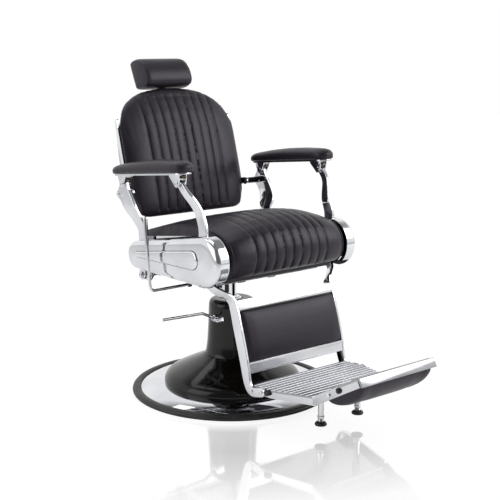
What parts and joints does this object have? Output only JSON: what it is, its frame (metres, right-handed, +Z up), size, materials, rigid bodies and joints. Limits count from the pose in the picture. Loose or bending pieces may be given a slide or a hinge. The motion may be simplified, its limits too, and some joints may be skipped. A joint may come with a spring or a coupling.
{
  "type": "hydraulic barber chair",
  "caption": "Swivelling, lifting and reclining barber chair on a round pedestal, with a channelled seat, linked arms, a leg rest with a flip-over foot flap and an adjustable headrest.",
  "frame": {"origin": "centre of the base on the floor", "axes": "+Z up, the chair faces -Y, +X is the sitter's left"},
  "size_m": [0.7, 1.2625, 1.1354],
  "materials": {
    "chrome": "polished",
    "brushed_aluminium": "brushed",
    "gloss_black": "high gloss",
    "upholstery": "satin grain",
    "rubber": "matte",
    "steel": "satin"
  },
  "bodies": {
    "base": {"base_rim": "rubber", "base_disc": "chrome", "base_bell": "gloss_black", "base_socket": "steel", "base_screws": "steel"},
    "column": {"pump_shroud": "gloss_black", "pump_cylinder": "steel", "ram_gland": "chrome", "lever_fulcrum": "chrome"},
    "pump_lever": {"pump_lever": "chrome"},
    "seat": {"lift_ram": "chrome", "top_plate": "steel", "seat_rails": "steel", "crossmembers": "steel", "seat_pan": "gloss_black", "seat_cushion": "upholstery", "side_frame_left": "chrome", "side_frame_right": "chrome", "side_cover_left": "chrome", "side_cover_right": "chrome", "pivot_pins": "steel", "recline_cylinder": "gloss_black", "lever_bracket": "gloss_black"},
    "recline_lever": {"recline_lever": "chrome", "recline_grip": "chrome"},
    "strut_rod": {"recline_rod": "chrome"},
    "backrest": {"recline_shaft": "steel", "rear_post_left": "chrome", "rear_post_right": "chrome", "back_rails": "chrome", "back_bosses": "gloss_black", "back_board": "gloss_black", "back_cushion": "upholstery", "headrest_socket": "chrome", "headrest_knob": "gloss_black"},
    "headrest_stem": {"headrest_stem": "chrome"},
    "headrest": {"headrest_bracket": "chrome", "headrest_cushion": "upholstery"},
    "arm_left": {"arm_pad_left": "upholstery", "arm_plate_left": "chrome", "arm_pins_left": "steel"},
    "arm_right": {"arm_pad_right": "upholstery", "arm_plate_right": "chrome", "arm_pins_right": "steel"},
    "front_post_left": {"front_post_left": "chrome"},
    "front_post_right": {"front_post_right": "chrome"},
    "leg_rest": {"leg_bar_left": "chrome", "leg_bar_right": "chrome", "leg_crossbars": "brushed_aluminium", "calf_board": "gloss_black", "calf_panel": "upholstery", "footplate": "brushed_aluminium", "foot_rails": "brushed_aluminium", "foot_bolts": "steel", "foot_bumpers": "rubber"},
    "foot_left": {"levelling_foot_left": "rubber"},
    "foot_right": {"levelling_foot_right": "rubber"},
    "foot_flap": {"flap_tread": "brushed_aluminium", "flap_bar": "brushed_aluminium", "flap_pad": "upholstery"}
  },
  "joints": [
    {"name": "swivel", "type": "hinge", "parent": "base", "child": "column", "pos_m": [0, 0, 0], "axis": [0, 0, 1], "continuous": true},
    {"name": "lift", "type": "slide", "parent": "column", "child": "seat", "axis": [0, 0, 1], "range_m": [-0.024, 0.14]},
    {"name": "pump_stroke", "type": "hinge", "parent": "column", "child": "pump_lever", "pos_m": [-0.096, -0.03, 0.272], "axis": [0, 1, 0], "range_deg": [-25, 0], "stiffness_Nm_per_rad": 8, "springref_deg": 8.59},
    {"name": "recline", "type": "hinge", "parent": "seat", "child": "backrest", "pos_m": [0, 0.144, 0.42], "axis": [-1, 0, 0], "range_deg": [0, 42]},
    {"name": "strut_slide", "type": "slide", "parent": "seat", "child": "strut_rod", "axis": [0, -1, 0], "range_m": [0, 0.0174]},
    {"name": "release_lever", "type": "hinge", "parent": "seat", "child": "recline_lever", "pos_m": [-0.25, 0.011, 0.396], "axis": [-1, 0, 0], "range_deg": [-12, 20], "stiffness_Nm_per_rad": 6},
    {"name": "leg_rest_swing", "type": "hinge", "parent": "seat", "child": "leg_rest", "pos_m": [0, -0.204, 0.453], "axis": [-1, 0, 0], "range_deg": [0, 33.6]},
    {"name": "front_post_left_swing", "type": "hinge", "parent": "seat", "child": "front_post_left", "pos_m": [0.2705, -0.169, 0.452], "axis": [-1, 0, 0], "range_deg": [0, 42]},
    {"name": "front_post_right_swing", "type": "hinge", "parent": "seat", "child": "front_post_right", "pos_m": [-0.2705, -0.169, 0.452], "axis": [-1, 0, 0], "range_deg": [0, 42]},
    {"name": "arm_left_pivot", "type": "hinge", "parent": "backrest", "child": "arm_left", "pos_m": [0.301, 0.195, 0.729], "axis": [-1, 0, 0], "range_deg": [-42, 0]},
    {"name": "arm_right_pivot", "type": "hinge", "parent": "backrest", "child": "arm_right", "pos_m": [-0.301, 0.195, 0.729], "axis": [-1, 0, 0], "range_deg": [-42, 0]},
    {"name": "headrest_height", "type": "slide", "parent": "backrest", "child": "headrest_stem", "axis": [0, 0.274, 0.9617], "range_m": [0, 0.08]},
    {"name": "headrest_tilt", "type": "hinge", "parent": "headrest_stem", "child": "headrest", "pos_m": [0, 0.46437, 1.06617], "axis": [-1, 0, 0], "range_deg": [0, 30]},
    {"name": "foot_left_screw", "type": "slide", "parent": "leg_rest", "child": "foot_left", "axis": [0, 0, 1], "range_m": [-0.008, 0.008]},
    {"name": "foot_right_screw", "type": "slide", "parent": "leg_rest", "child": "foot_right", "axis": [0, 0, 1], "range_m": [-0.008, 0.008]},
    {"name": "flap_flip", "type": "hinge", "parent": "leg_rest", "child": "foot_flap", "pos_m": [0, -0.65062, 0.17674], "axis": [-1, 0, 0], "range_deg": [0, 150]}
  ],
  "couplings": [
    {"joint": "strut_slide", "follows": "recline", "m_per_rad": 0.023466},
    {"joint": "leg_rest_swing", "follows": "recline", "ratio": 0.8},
    {"joint": "front_post_left_swing", "follows": "recline", "ratio": 1},
    {"joint": "front_post_right_swing", "follows": "recline", "ratio": 1},
    {"joint": "arm_left_pivot", "follows": "recline", "ratio": -1},
    {"joint": "arm_right_pivot", "follows": "recline", "ratio": -1}
  ]
}
